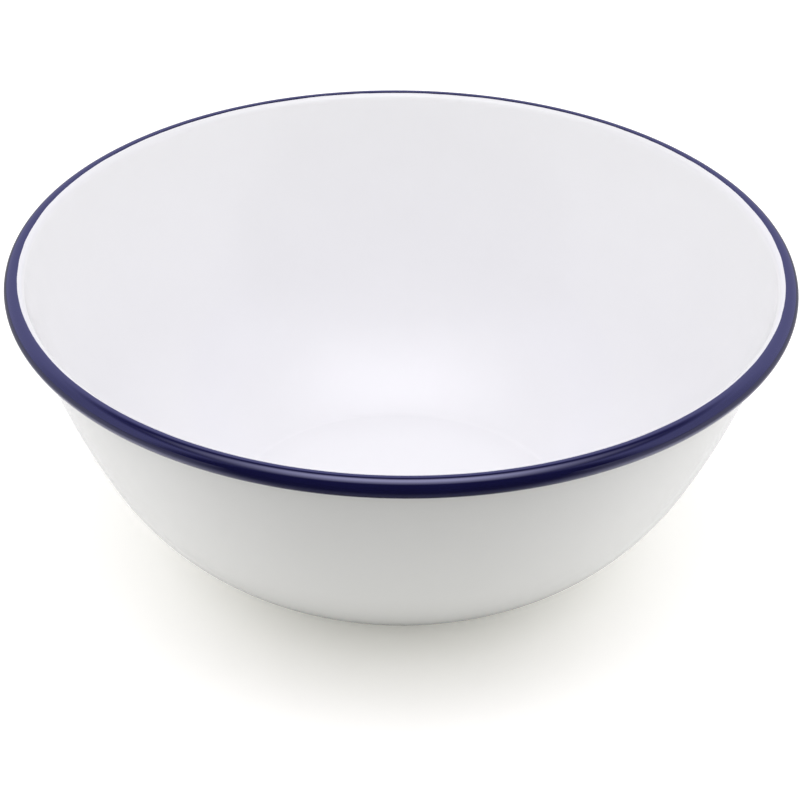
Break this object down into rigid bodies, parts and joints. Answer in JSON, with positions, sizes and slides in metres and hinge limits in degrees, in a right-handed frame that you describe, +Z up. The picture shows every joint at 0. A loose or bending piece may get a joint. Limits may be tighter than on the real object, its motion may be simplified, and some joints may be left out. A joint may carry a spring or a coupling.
{
  "type": "enamel bowl",
  "caption": "Round open bowl of enamelled pressed steel with flared curved walls, a slightly domed base and a hollow rolled rim, white with a blue rim, for washing and mixing.",
  "frame": {"origin": "centre of the plane that the bowl stands on", "axes": "+Z up along the bowl's axis; X and Y are alike because the bowl is round"},
  "size_m": [0.24, 0.24, 0.0945],
  "materials": {
    "bare_steel": "drawn sheet, bare under the enamel and inside the roll",
    "ground_enamel": "dark fired ground coat, hidden",
    "white_enamel": "glossy white fired cover coat",
    "blue_enamel": "glossy deep blue fired cover coat"
  },
  "bodies": {
    "root": {"steel_shell": "bare_steel", "inner_ground_coat": "ground_enamel", "outer_ground_coat": "ground_enamel", "inner_white_coat": "white_enamel", "outer_white_coat": "white_enamel", "blue_rim_coat": "blue_enamel"}
  },
  "joints": []
}
